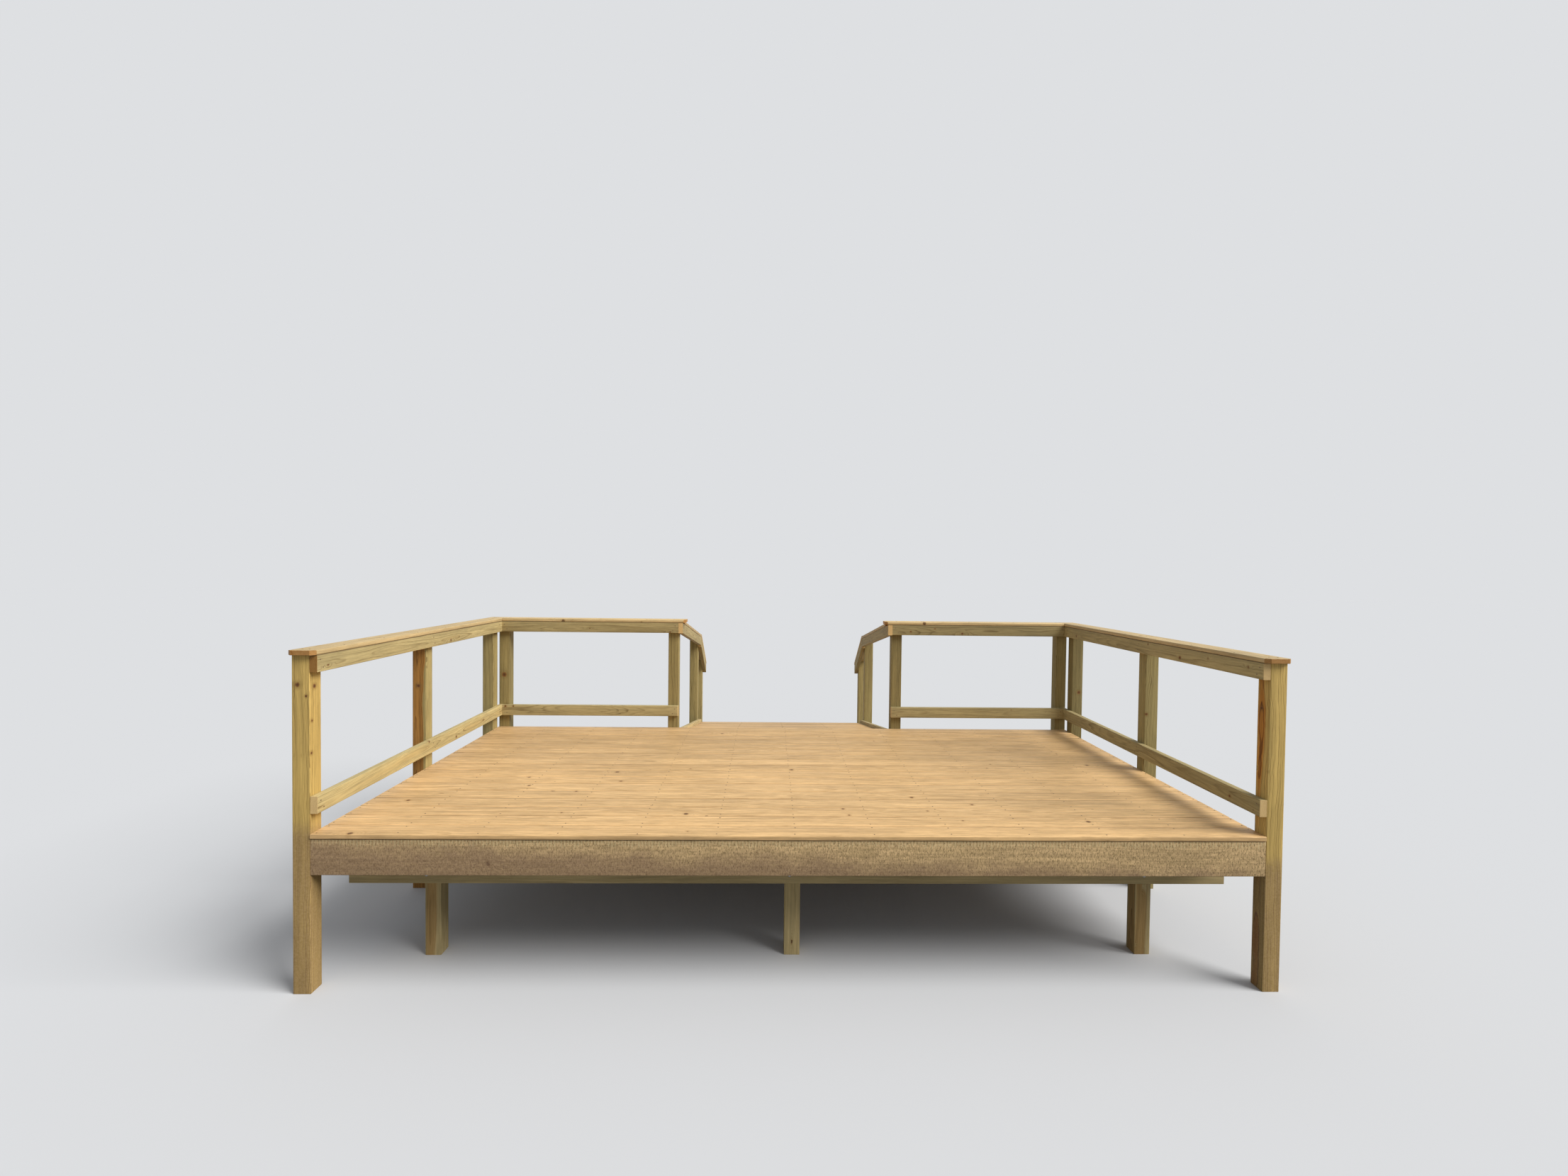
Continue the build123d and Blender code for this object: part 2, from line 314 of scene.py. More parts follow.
def pine_finish(name, light, late, heart, ring_width=0.0045, late_share=0.55, late_start=0.25,
                weakest_year=0.45, wave=0.0, broken=0.65, heart_share=0.75, tone_range=(0.88, 1.10),
                warm_share=0.25, grime=0.25, fleck_share=0.06, knot_share=0.14, seen_knots=(), rough=0.62,
                end_share=0.6, end_colour=(0.42, 0.18, 0.035), specks=0.0, comb_top=None, mud_top=None,
                mud_share=0.75, shade_line_top=None, joints=None):
    """Treated pine: growth rings round the tree's heart, which is redder, knots with the grain flowing round
    them, knots at given places, fine fibres, flecks and end grain of its own colour. Where asked for, it has
    specks, comb marks of the treatment, splashed mud, a painted shadow line under what lies on it, or joints
    between boards darkened partly by dirt and partly by painted shade."""
    finish, tree, shader = new_material(name)
    shader.inputs["Specular IOR Level"].default_value = 0.2
    along, across, through = numbers_in(tree, written_on_wood(tree, "in_tree", "Vector"))
    tone = written_on_wood(tree, "tone")
    end = written_on_wood(tree, "end_grain")

    # The tree's heart wanders along its length
    heart_wander = 0.05
    drift = numbers_in(tree, cloud(tree, along * 0.8, 1.5, 0.5, "1D", "Color"), "Color")
    across = across + (drift[0] - 0.5) * heart_wander
    through = through + (drift[1] - 0.5) * heart_wander
    radius = (across * across + through * through).step("SQRT")
    angle = across.step("ARCTAN2", through)

    def grain_cloud(lengthwise, crosswise, detail, roughness=0.5):
        """Soft noise drawn out along the grain, with so many clouds in a metre each way."""
        vector = point_at(tree, along * lengthwise, across * crosswise, through * crosswise)
        return cloud(tree, vector, detail, roughness)

    # Knots: branches that grow out from the heart
    knot_pitch = 0.34
    knot_turn = 0.75
    largest_knot = 0.015
    knot_along = along / knot_pitch
    knot_round = angle / knot_turn
    centre, knot_lots = scatter(tree, point_at(tree, knot_along, knot_round, 0.0))[1:]
    off_along = (knot_along - centre[0]) * knot_pitch
    off_round = (knot_round - centre[1]) * knot_turn * radius
    luck = ((knot_lots[0] - (1 - knot_share)) / knot_share).step("MAXIMUM", 0.0)
    knot_size = luck.step("POWER", 1.6) * largest_knot
    ragged = (grain_cloud(90.0, 90.0, 2.0) - 0.5) * 0.006
    knot_depth = knot_size - (ragged + (off_along * off_along + off_round * off_round).step("SQRT"))
    knot_there = knot_size.rise(0.0006, 0.003)
    in_knot = knot_depth.rise(-0.0015, 0.0025) * knot_there
    stretched = off_along / 2.6
    swirl_distance = (stretched * stretched + off_round * off_round).step("SQRT")
    swirl_share = swirl_distance / (knot_size * 1.7 + 0.001)
    swirl = knot_size * 1.9 * (swirl_share * swirl_share * -1.0).step("EXPONENT")

    # Growth rings: pale early wood, a darker late line that ends sharply
    taper = 0.006
    wavy = (grain_cloud(1.6, 18.0, 3.0) - 0.5) * 0.012 + (grain_cloud(5.0, 9.0, 2.0) - 0.5) * wave
    from_heart = radius + swirl + wavy
    rings = (from_heart + along * taper) / ring_width
    rings = rings + cloud(tree, rings * 0.4, 1.0, 0.5, "1D") * 1.6
    phase = rings.step("FRACT")
    year_strength = lot_of(tree, rings).rise(0.0, 1.0, weakest_year, 1.0)
    late_line = phase.rise(late_start, 0.9) * phase.rise(0.93, 1.0, 1.0, 0.0) * year_strength
    dashes = grain_cloud(5.0, 90.0, 2.0, 0.6)
    late_line = late_line * dashes.rise(0.38, 0.62, 1 - broken, 1.0)
    colour = stain(tree, late_line * late_share, light, late)
    in_heart = from_heart.rise(0.054, 0.044, 0.0, heart_share)
    colour = stain(tree, in_heart, colour, heart, "MULTIPLY")
    heart_line_tint = (0.45, 0.35, 0.30)
    colour = stain(tree, in_heart * late_line * 0.5, colour, heart_line_tint, "MULTIPLY")

    # Fibres, streaks and flecks along the grain, and the board's own shade
    fine = grain_cloud(7.0, 430.0, 2.0, 0.6)
    streaks = grain_cloud(1.1, 62.0, 4.0, 0.6)
    flecks = grain_cloud(11.0, 85.0, 3.0, 0.7)
    broad = grain_cloud(1.7, 7.0, 3.0, 0.6)
    shade = streaks.rise(0.25, 0.75, 0.80, 1.13) + fine.rise(0.3, 0.7, -0.05, 0.05)
    shade = shade * tone.rise(0.0, 1.0, *tone_range) * broad.rise(0.3, 0.7, 1 - grime / 2, 1 + grime / 4)
    shade = shade * flecks.rise(0.35, 0.65, 1 + fleck_share / 2, 1 - fleck_share)
    colour = stain(tree, flecks.rise(0.64, 0.74) * (5 * fleck_share), colour, late)
    brightness = tree.nodes.new("ShaderNodeVectorMath")
    brightness.operation = "SCALE"
    feed(tree, brightness.inputs[0], colour)
    feed(tree, brightness.inputs["Scale"], shade)
    warm = (tone * 7.3).step("FRACT")
    warm_tint = (1.0, 0.93, 0.80)
    colour = stain(tree, warm * warm_share, brightness.outputs[0], warm_tint, "MULTIPLY")

    # Dark knots with a darker rim, strewn by lot and at the given places, and the sawn ends
    knot_brown, knot_core, knot_bark = (0.29, 0.145, 0.055), (0.10, 0.045, 0.02), (0.12, 0.055, 0.025)
    colour = stain(tree, knot_there * knot_depth.rise(-0.012, 0.0, 0.0, 0.35), colour, late)
    knot_colour = stain(tree, knot_depth.rise(0.001, 0.006), knot_brown, knot_core)
    knot_rim = in_knot * knot_depth.rise(0.0025, 0.0)
    knot_colour = stain(tree, knot_rim, knot_colour, knot_bark)
    colour = stain(tree, in_knot * 0.85, colour, knot_colour)
    place = tree.nodes.new("ShaderNodeTexCoord").outputs["Object"]
    layers = ((-1.8, 0.0, 0.40, late), (-0.2, 0.15, 0.85, (0.26, 0.115, 0.035)),
              (0.1, 0.6, 0.85, (0.10, 0.045, 0.018)))
    for *spot, size in seen_knots:
        reach = tree.nodes.new("ShaderNodeVectorMath")
        reach.operation = "DISTANCE"
        reach.inputs[1].default_value = spot
        feed(tree, reach.inputs[0], place)
        inward = size - (ragged + (dashes - 0.5) * size + reach.outputs["Value"])
        for faint, full, share, wood in layers:
            colour = stain(tree, inward.rise(faint * size, full * size, 0.0, share), colour, wood)
    colour = stain(tree, end * end_share, colour, end_colour)
    end_line_tint = (0.62, 0.48, 0.38)
    colour = stain(tree, end * late_line * 0.8, colour, end_line_tint, "MULTIPLY")
    if specks:
        vector = point_at(tree, along * 9.0, across * 26.0, through * 26.0)
        dot_distance, _, dot_lots = scatter(tree, vector, "3D")
        in_dot = (dot_lots[1].step("POWER", 5.0) * 0.10 - dot_distance).rise(-0.01, 0.03)
        speck_brown = (0.16, 0.08, 0.035)
        colour = stain(tree, in_dot * specks, colour, speck_brown)

    # What lies on the wood by its place on the deck: comb marks, mud, a painted shadow line, and darker
    # joints that are partly dirt and partly painted shade
    x, y, z = numbers_in(tree, place)
    height_bump = late_line * 0.5 + fine * 0.6 - knot_rim * 0.8
    if comb_top is not None:
        run = x + y
        mottle_brown, slit_brown, pale_tooth = (0.20, 0.14, 0.055), (0.12, 0.08, 0.035), (0.74, 0.60, 0.32)
        mottle = cloud(tree, point_at(tree, run * 130.0, z * 45.0, 0.0), 4.0, 0.75)
        colour = stain(tree, mottle.rise(0.42, 0.62, 0.0, 0.6), colour, mottle_brown)
        tick_distance, _, tick_lots = scatter(tree, point_at(tree, run * 150.0, z * 70.0, 0.0))
        slits = (tick_lots[0].rise(0.2, 1.0, 0.0, 0.38) - tick_distance).rise(-0.02, 0.12)
        colour = stain(tree, slits * 0.55, colour, slit_brown)
        height_bump = height_bump - slits
        tooth_pitch = 0.017
        tooth = run / tooth_pitch
        below_top = comb_top - z + lot_of(tree, tooth) * 0.025
        off_middle = (tooth.step("FRACT") - 0.5).step("ABSOLUTE")
        teeth = off_middle.rise(0.26, 0.14) * below_top.rise(0.05, 0.035)
        colour = stain(tree, teeth * 0.38, colour, pale_tooth)
    if mud_top is not None:
        splash = cloud(tree, point_at(tree, x * 5.0, y * 5.0, z * 5.0), 6.0, 0.7)
        level = z + (splash - 0.5) * -0.20 + x * 0.03
        muddy = level.rise(mud_top, mud_top - 0.12, 0.0, mud_share) * fine.rise(0.3, 0.7, 0.72, 1.0)
        crumbs = cloud(tree, point_at(tree, x * 110.0, y * 110.0, z * 110.0), 3.0, 0.7)
        wet_mud, dry_mud = (0.17, 0.098, 0.058), (0.29, 0.183, 0.112)
        mud = stain(tree, crumbs.rise(0.35, 0.65), wet_mud, dry_mud)
        colour = stain(tree, muddy, colour, mud)
    # A painted shadow: a dark brown line just below the given top, where deck boards or caps overhang the
    # timber.
    if shade_line_top is not None:
        painted_shade_line = z.rise(shade_line_top - 0.006, shade_line_top - 0.002, 0.0, 0.7)
        shade_line_brown = (0.10, 0.055, 0.025)
        colour = stain(tree, painted_shade_line, colour, shade_line_brown)
    # Darker joints between boards: partly dirt, partly painted shade in the gaps.
    if joints is not None:
        first_joint, joint_pitch, joint_grime_and_shade = joints
        counted = (y - first_joint) / joint_pitch
        nearest_joint = counted.step("ROUND")
        near_joint = ((counted - nearest_joint).step("ABSOLUTE") * joint_pitch).rise(0.006, 0.002)
        joint_dark_share = 0.0
        for i, share in enumerate(joint_grime_and_shade):
            joint_dark_share = nearest_joint.step("COMPARE", i, 0.5).step("MULTIPLY_ADD", share, joint_dark_share)
        joint_brown = (0.22, 0.12, 0.055)
        colour = stain(tree, near_joint * joint_dark_share, colour, joint_brown)
    feed(tree, shader.inputs["Base Color"], colour)
    feed(tree, shader.inputs["Roughness"], fine.rise(0.2, 0.8, rough + 0.08, rough - 0.08))
    bump = tree.nodes.new("ShaderNodeBump")
    bump.inputs["Strength"].default_value = 0.6
    bump.inputs["Distance"].default_value = 0.0006
    feed(tree, bump.inputs["Height"], height_bump)
    feed(tree, shader.inputs["Normal"], bump.outputs["Normal"])
    return finish


frame_finish = pine_finish("framing_pine", (0.58, 0.45, 0.22), (0.36, 0.25, 0.09), (0.8, 0.6, 0.4),
                           rough=0.74)


def standing_timber(node, pith, finish, tone=None, top_slope=None):
    """A 4x4 in the place of its plain solid, its top sawn to a slope where one is given."""
    low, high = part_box(node)
    bar = planed_bar(node + "_timber", high.z - low.z, post_side, post_side, eased_edge)
    if top_slope is not None:
        saw_off(bar, (high.z - low.z, 0, -post_side / 2), (1, 0, top_slope))
    middle = ((low.x + high.x) / 2, (low.y + high.y) / 2, low.z)
    set_in_place(bar, middle, (0, 0, 1), (1, 0, 0), pith, tone)
    fix_to_deck(bar, finish, "post_timber", node)


for place in ("left", "middle", "right"):
    pith = (dice.uniform(-0.02, 0.02), dice.uniform(-0.02, 0.02))
    standing_timber(f"{place}_front_leg", pith, frame_finish)

# Front beam and floor joists: planks of treated pine on edge, left rough and hidden under the boards.
# The beam's two plies are bolted to the legs; eleven joists lie over it, between the front and back rims.
stock_thickness = 0.0381


def join_as(pieces, name):
    take_up(*pieces)
    if len(pieces) > 1:
        bpy.ops.object.join()
    pieces[0].name = name
    return pieces[0]


def plank_on_edge(node, low, high, along_x, tone=None):
    """A plank standing on its edge between two corners, its grain along X or along Y."""
    size = high - low
    length, thickness = (size.x, size.y) if along_x else (size.y, size.x)
    bar = planed_bar(node + "_plank", length, size.z, thickness, eased_edge)
    pith = (dice.uniform(-0.3, 0.3) * size.z, dice.choice((-1, 1)) * dice.uniform(0.06, 0.10))
    middle_z = (low.z + high.z) / 2
    if along_x:
        start, grain = (low.x, (low.y + high.y) / 2, middle_z), (1, 0, 0)
    else:
        start, grain = ((low.x + high.x) / 2, low.y, middle_z), (0, 1, 0)
    return set_in_place(bar, start, grain, (0, 0, 1), pith, tone)


beam_low, beam_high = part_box("front_beam")
plies = []
for ply_front in (beam_low.y, beam_high.y - stock_thickness):
    corner = Vector((beam_low.x, ply_front, beam_low.z))
    far_corner = Vector((beam_high.x, ply_front + stock_thickness, beam_high.z))
    plies.append(plank_on_edge("front_beam", corner, far_corner, True))
fix_to_deck(join_as(plies, "front_beam_planks"), frame_finish, "frame_timber", "front_beam")

joist_low, joist_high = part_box("floor_joists")
joist_count = 11
joist_pitch = (joist_high.x - joist_low.x - stock_thickness) / (joist_count - 1)
joists = []
for i in range(joist_count):
    corner = Vector((joist_low.x + i * joist_pitch, joist_low.y, joist_low.z))
    far_corner = Vector((corner.x + stock_thickness, joist_high.y, joist_high.z))
    joists.append(plank_on_edge("floor_joists", corner, far_corner, False))
fix_to_deck(join_as(joists, "floor_joist_planks"), frame_finish, "frame_timber", "floor_joists")

# Rims: planks of treated pine on edge that close the frame all round, greyer than the rest.
# They show the comb marks of the treatment near their top, and mud is splashed over the front one.
rim_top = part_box("front_rim")[1].z
# Both rim finishes paint a dark shadow line just below the rims' top, under the deck boards.
rim_finish = pine_finish("rim_pine", (0.69, 0.475, 0.24), (0.36, 0.25, 0.11), (0.85, 0.7, 0.55),
                         late_share=0.45, knot_share=0.03, rough=0.78, comb_top=rim_top,
                         mud_top=rim_top - 0.045, shade_line_top=rim_top)
side_rim_finish = pine_finish("side_rim_pine", (0.64, 0.50, 0.25), (0.38, 0.27, 0.10), (0.85, 0.7, 0.5),
                              knot_share=0.03, rough=0.74, comb_top=rim_top, shade_line_top=rim_top)
for node in ("front_rim", "back_rim", "left_side_rim", "right_side_rim"):
    rim = plank_on_edge(node, *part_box(node), "side" not in node)
    finish = rim_finish if node == "front_rim" else side_rim_finish
    fix_to_deck(rim, finish, "rim_timber", node)

# Deck boards: seventeen rounded-edge boards of bright new pine, screwed across the joists.
# They are cut from different trees, so each has its own tone and grain; their tones also fall from front to
# back as painted shade, so the front ones are brightest.
# Some joints, counted here from the front, are darkened, partly by dirt gathered in them and partly as
# painted shade in the gaps.
board_width = 0.1397
board_thickness = 0.0254
board_edge = 0.005
board_count = 17
front_board_tone = 0.8
# The fall in tone from the front board to the back one is painted shade.
painted_shade_fall = 0.5
boards_low, boards_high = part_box("deck_boards")
board_pitch = (boards_high.y - boards_low.y - board_width) / (board_count - 1)
first_joint = boards_low.y + (board_width + board_pitch) / 2
joint_grime_and_shade = (0.10, 0.45, 0.05, 0.50, 0.15, 0.75, 0.05, 0.15,
              0.75, 0.10, 0.50, 0.05, 0.15, 0.80, 0.10, 0.30)
deck_knots = ((-2.218, -1.808, 0.012), (-1.078, -1.425, 0.010), (-1.304, -1.628, 0.009),
              (0.719, -1.721, 0.011), (0.284, -1.924, 0.009), (0.308, -2.027, 0.008), (1.046, -1.844, 0.009))
board_finish = pine_finish("deck_board_pine", (0.69, 0.445, 0.205), (0.39, 0.22, 0.08), (0.94, 0.82, 0.70),
                           ring_width=0.0055, late_share=0.6, knot_share=0.05, rough=0.55, specks=0.8,
                           tone_range=(0.86, 1.12), heart_share=0.5, warm_share=0.2, fleck_share=0.12,
                           joints=(first_joint, board_pitch, joint_grime_and_shade),
                           seen_knots=[(x, y, deck_top, size) for x, y, size in deck_knots])


def copy_of(bar, name):
    twin = bar.copy()
    twin.data = bar.data.copy()
    twin.name = name
    bpy.context.scene.collection.objects.link(twin)
    return twin


def lay_boards(node, piece_name, starts, across=(0, 1, 0), tones=None):
    """Boards side by side in the place of their plain solids, each sawn from a tree of its own."""
    low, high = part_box(node)
    uncut = planed_bar(piece_name + "_uncut", high.x - low.x, board_width, board_thickness, board_edge)
    boards = []
    for i, start in enumerate(starts):
        board = copy_of(uncut, f"{piece_name}_{i}")
        pith = (dice.uniform(-0.06, 0.06), dice.uniform(-0.12, -0.06))
        tone = None if tones is None else tones[i] + dice.uniform(-0.2, 0.2)
        boards.append(set_in_place(board, start, (1, 0, 0), across, pith, tone))
    bpy.data.objects.remove(uncut)
    fix_to_deck(join_as(boards, piece_name), board_finish, "deck_board", node)


board_starts = []
board_tones_shaded_to_back = []
for i in range(board_count):
    middle_y = boards_low.y + board_width / 2 + i * board_pitch
    board_starts.append((boards_low.x, middle_y, deck_top - board_thickness / 2))
    board_tones_shaded_to_back.append(front_board_tone - painted_shade_fall * i / (board_count - 1))
lay_boards("deck_boards", "deck_board_planks", board_starts, tones=board_tones_shaded_to_back)

# Railing posts: 4x4 posts of treated pine, bolted outside the side rims and behind the back rim.
# The left middle one and the right front one's inner face show the reddish heart of their trees, the
# others the yellow outer wood; the front two are muddy below the rims.
post_knots = ((-2.5004, -2.3240, 1.5665, 0.013), (-2.4550, -2.3240, 1.5100, 0.006),
              (-2.4384, -2.2869, 1.5555, 0.011), (-2.4384, -2.3060, 1.3832, 0.007),
              (-2.4384, -2.3100, 1.2212, 0.008), (-2.4873, -1.1520, 1.3677, 0.013),
              (-2.3971, 0.1089, 1.2573, 0.020), (-2.3791, 0.1089, 0.9927, 0.014),
              (2.4384, -2.2647, 1.4738, 0.011), (2.4480, -1.1520, 1.2100, 0.009),
              (2.4965, -0.0181, 1.1632, 0.014))
post_looks = dict(ring_width=0.006, late_share=0.95, late_start=0.45, weakest_year=0.15, wave=0.025,
                  knot_share=0.04, tone_range=(0.45, 1.20), heart_share=1.0, broken=0.35, grime=0.2,
                  seen_knots=post_knots)
# All posts but the front two take this greener copy of the post pine; its green tint is painted shade light.
# The front two take the yellower muddy one.
shaded_post_finish = pine_finish("post_pine", (0.60, 0.47, 0.19), (0.20, 0.13, 0.04), (0.90, 0.555, 0.33),
                          rough=0.66, **post_looks)
muddy_post_finish = pine_finish("muddy_post_pine", (0.65, 0.445, 0.14), (0.22, 0.12, 0.03),
                                (0.72, 0.45, 0.26), rough=0.70, mud_top=rim_top + 0.03, mud_share=0.6,
                                **post_looks)
shown_hearts = {("left", "middle"): (-0.018, -0.035), ("right", "front"): (-0.091, 0.014)}
# These tones mix each post's own tone with painted shade: they fall towards the back, most on the right side.
post_tones_with_painted_shade = {"left": (0.67, 0.45, 0.33, 0.30, 0.26), "right": (0.70, 0.31, 0.0, 0.25, 0.05)}


def pith_outside_post():
    """A post sawn from outer wood: the heart of its tree lay beyond two of its faces."""
    return dice.choice((-1, 1)) * dice.uniform(0.095, 0.12), dice.choice((-1, 1)) * dice.uniform(0.09, 0.12)


for side in ("left", "right"):
    for place, tone in zip(("front", "middle", "rear", "corner", "opening"), post_tones_with_painted_shade[side]):
        pith = pith_outside_post()
        pith = shown_hearts.get((side, place), pith)
        finish = muddy_post_finish if place == "front" else shaded_post_finish
        standing_timber(f"{side}_{place}_post", pith, finish, tone)

# Rails: 2x4 pine timbers on edge, screwed to the inner faces of the posts, one at the top and one low down.
# Their sawn ends are pale, but the left upper one's is a warm brown.
rail_knots = ((2.4003, -1.6007, 1.6541, 0.010), (2.4003, -1.2397, 1.7009, 0.006),
              (1.0722, 0.0708, 1.6598, 0.008), (1.2794, 0.0708, 1.6861, 0.006),
              (-2.3719, 0.0708, 0.9947, 0.009), (-2.3063, 0.0708, 0.9952, 0.007),
              (-2.4003, -0.7862, 0.9407, 0.009), (-2.4003, -0.3084, 0.9582, 0.007),
              (2.4003, -2.0896, 0.9505, 0.008), (0.8763, 0.9854, 1.5088, 0.008))
post_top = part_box("left_opening_post")[1].z
# The rail finishes paint a dark shadow line just below the rails' top, under the caps.
rail_looks = dict(light=(0.575, 0.455, 0.212), late=(0.245, 0.165, 0.06), heart=(0.85, 0.68, 0.48),
                  ring_width=0.0055, late_share=0.8, late_start=0.55, tone_range=(0.60, 1.15), broken=0.45,
                  heart_share=0.4, fleck_share=0.09, rough=0.66, shade_line_top=post_top, seen_knots=rail_knots)
rail_finish = pine_finish("rail_pine", end_share=0.7, end_colour=(0.83, 0.55, 0.235), **rail_looks)
brown_ended_finish = pine_finish("brown_ended_rail_pine", end_share=0.85, end_colour=(0.31, 0.13, 0.02),
                                 **rail_looks)
# These tones mix each rail's own tone with painted shade: the right rails are darker, the right back upper
# one most.
rail_tones_with_painted_shade = {"left": (0.48, 0.66, 0.38, 0.42), "right": (0.42, 0.32, 0.08, 0.30)}
for side in ("left", "right"):
    tones = iter(rail_tones_with_painted_shade[side])
    for prefix, along_x in (("", False), ("back_", True)):
        for level in ("upper", "lower"):
            node = f"{prefix}{side}_{level}_rail"
            rail = plank_on_edge(node, *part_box(node), along_x, tone=next(tones))
            finish = brown_ended_finish if node == "left_upper_rail" else rail_finish
            fix_to_deck(rail, finish, "rail_timber", node)

# Caps: flat pine boards with rounded edges, screwed down along the top of the rails and posts.
# The corners of their free ends are sawn off, and they lie a hair lower than the screws that hold them.
cap_finish = pine_finish("cap_pine", (0.66, 0.485, 0.24), (0.42, 0.27, 0.10), (0.85, 0.6, 0.4), rough=0.58,
                         tone_range=(0.80, 1.08), heart_share=0.4, end_share=0.75, fleck_share=0.09)
cap_width = 0.1397
cap_corner_clip = 0.0222
cap_settled = 0.0005


def clip_corners(board, cut_start, outward, tilt=0.0):
    """Saws both corners off a cap's free end, at 45 degrees in plan, from cut_start on its edges."""
    for edge in (-1, 1):
        saw_off(board, (cut_start, edge * cap_width / 2, 0), (outward, edge, tilt))


def flat_board(name, low, high, along_x, free_end, tone):
    size = high - low
    length, width = (size.x, size.y) if along_x else (size.y, size.x)
    bar = planed_bar(name, length, width, size.z - cap_settled, board_edge)
    if free_end < 0:
        clip_corners(bar, cap_corner_clip, -1)
    else:
        clip_corners(bar, length - cap_corner_clip, 1)
    pith = (dice.uniform(-0.03, 0.03), dice.uniform(-0.07, -0.045))
    middle_z = (low.z + high.z - cap_settled) / 2
    if along_x:
        start, grain, across = (low.x, (low.y + high.y) / 2, middle_z), (1, 0, 0), (0, 1, 0)
    else:
        start, grain, across = ((low.x + high.x) / 2, low.y, middle_z), (0, 1, 0), (-1, 0, 0)
    return set_in_place(bar, start, grain, across, pith, tone)


for side, toward_middle, tone in (("left", 1, 0.48), ("right", -1, 0.42)):
    side_cap = flat_board(f"{side}_cap_board", *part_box(f"{side}_cap"), False, -1, tone)
    fix_to_deck(side_cap, cap_finish, "cap_board", f"{side}_cap")
    back_cap = flat_board(f"back_{side}_cap_board", *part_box(f"back_{side}_cap"), True, toward_middle, 0.88)
    fix_to_deck(back_cap, cap_finish, "cap_board", f"back_{side}_cap")

# Walkway posts: 4x4 pine posts at the knee and at the foot of the steps, bolted to the side planks.
# Their tops are sawn to the slope of the stair rails and lie flush with them.
back_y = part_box("back_rim")[1].y
knee_low, knee_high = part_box("left_knee_post")
foot_low, foot_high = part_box("left_foot_post")
handrail_start_y = back_y - stock_thickness
stair_slope = (knee_high.z - foot_high.z) / (foot_low.y - knee_low.y)
ramp_slope = (post_top - knee_high.z) / (knee_low.y - handrail_start_y)
ramp_cos = math.cos(math.atan(ramp_slope))
stair_cos = math.cos(math.atan(stair_slope))
# The walkway posts take the greener post pine with its painted shade tint.
for side in ("left", "right"):
    for place, tone in (("knee", 0.35), ("foot", 0.45)):
        standing_timber(f"{side}_{place}_post", pith_outside_post(), shaded_post_finish, tone, stair_slope)

# Handrails: 2x4 pine timbers on edge, screwed inside the walkway's posts and bent at the knee post.
# A flat cap lies along their top, with the corners of its last end sawn off.
rail_depth = 0.0889
cap_thickness = 0.0254
cap_overhang = 0.0254
joint_gap = 0.0015
cap_back_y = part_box("left_cap")[1].y


def sloping_bar(name, middle_x, width_x, start_y, end_y, top_at_start, slope, depth, edge, pith,
                clipped=False, tone=None):
    """A timber that runs down a slope, its ends sawn plumb, its last corners off if clipped."""
    angle = math.atan(slope)
    along = Vector((0, math.cos(angle), -math.sin(angle)))
    upright = Vector((0, math.sin(angle), math.cos(angle)))
    waste = depth * slope + 0.01
    length = (end_y - start_y) / along.y + 2 * waste
    bar = planed_bar(name, length, width_x, depth, edge)
    start = Vector((middle_x, start_y, top_at_start)) - upright * depth / 2 - along * waste
    for cut_y, outward in ((start_y, -1), (end_y, 1)):
        point = ((cut_y - start.y) / along.y, 0, 0)
        saw_off(bar, point, (outward * along.y, 0, outward * upright.y))
    if clipped:
        clip_corners(bar, (end_y - cap_corner_clip - start.y) / along.y, along.y, upright.y)
    return set_in_place(bar, start, along, (-1, 0, 0), pith, tone)


for side in ("left", "right"):
    low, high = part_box(f"{side}_handrail")
    middle_x = (low.x + high.x) / 2
    stair_start_y = knee_low.y + joint_gap
    stair_start_z = knee_high.z - stair_slope * joint_gap
    rails = [
        sloping_bar("ramp_rail", middle_x, stock_thickness, handrail_start_y, knee_low.y, post_top,
                    ramp_slope, rail_depth, eased_edge, (0.07, dice.uniform(-0.02, 0.02)), tone=0.25),
        sloping_bar("stair_rail", middle_x, stock_thickness, stair_start_y, foot_high.y, stair_start_z,
                    stair_slope, rail_depth, eased_edge, (-0.07, dice.uniform(-0.02, 0.02)), tone=0.35),
    ]
    fix_to_deck(join_as(rails, f"{side}_handrail_timbers"), rail_finish, "rail_timber", f"{side}_handrail")
    low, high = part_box(f"{side}_handrail_cap")
    middle_x = (low.x + high.x) / 2
    cap_start_y = cap_back_y + joint_gap
    cap_start_z = post_top - ramp_slope * (cap_start_y - handrail_start_y) + cap_thickness / ramp_cos
    caps = [
        sloping_bar("ramp_cap", middle_x, cap_width, cap_start_y, knee_low.y, cap_start_z,
                    ramp_slope, cap_thickness, board_edge, (0.02, -0.07)),
        sloping_bar("stair_cap", middle_x, cap_width, stair_start_y, foot_high.y + cap_overhang - bow,
                    stair_start_z + cap_thickness / stair_cos, stair_slope, cap_thickness, board_edge,
                    (-0.03, -0.08), clipped=True),
    ]
    fix_to_deck(join_as(caps, f"{side}_handrail_cap_boards"), cap_finish, "cap_board", f"{side}_handrail_cap")

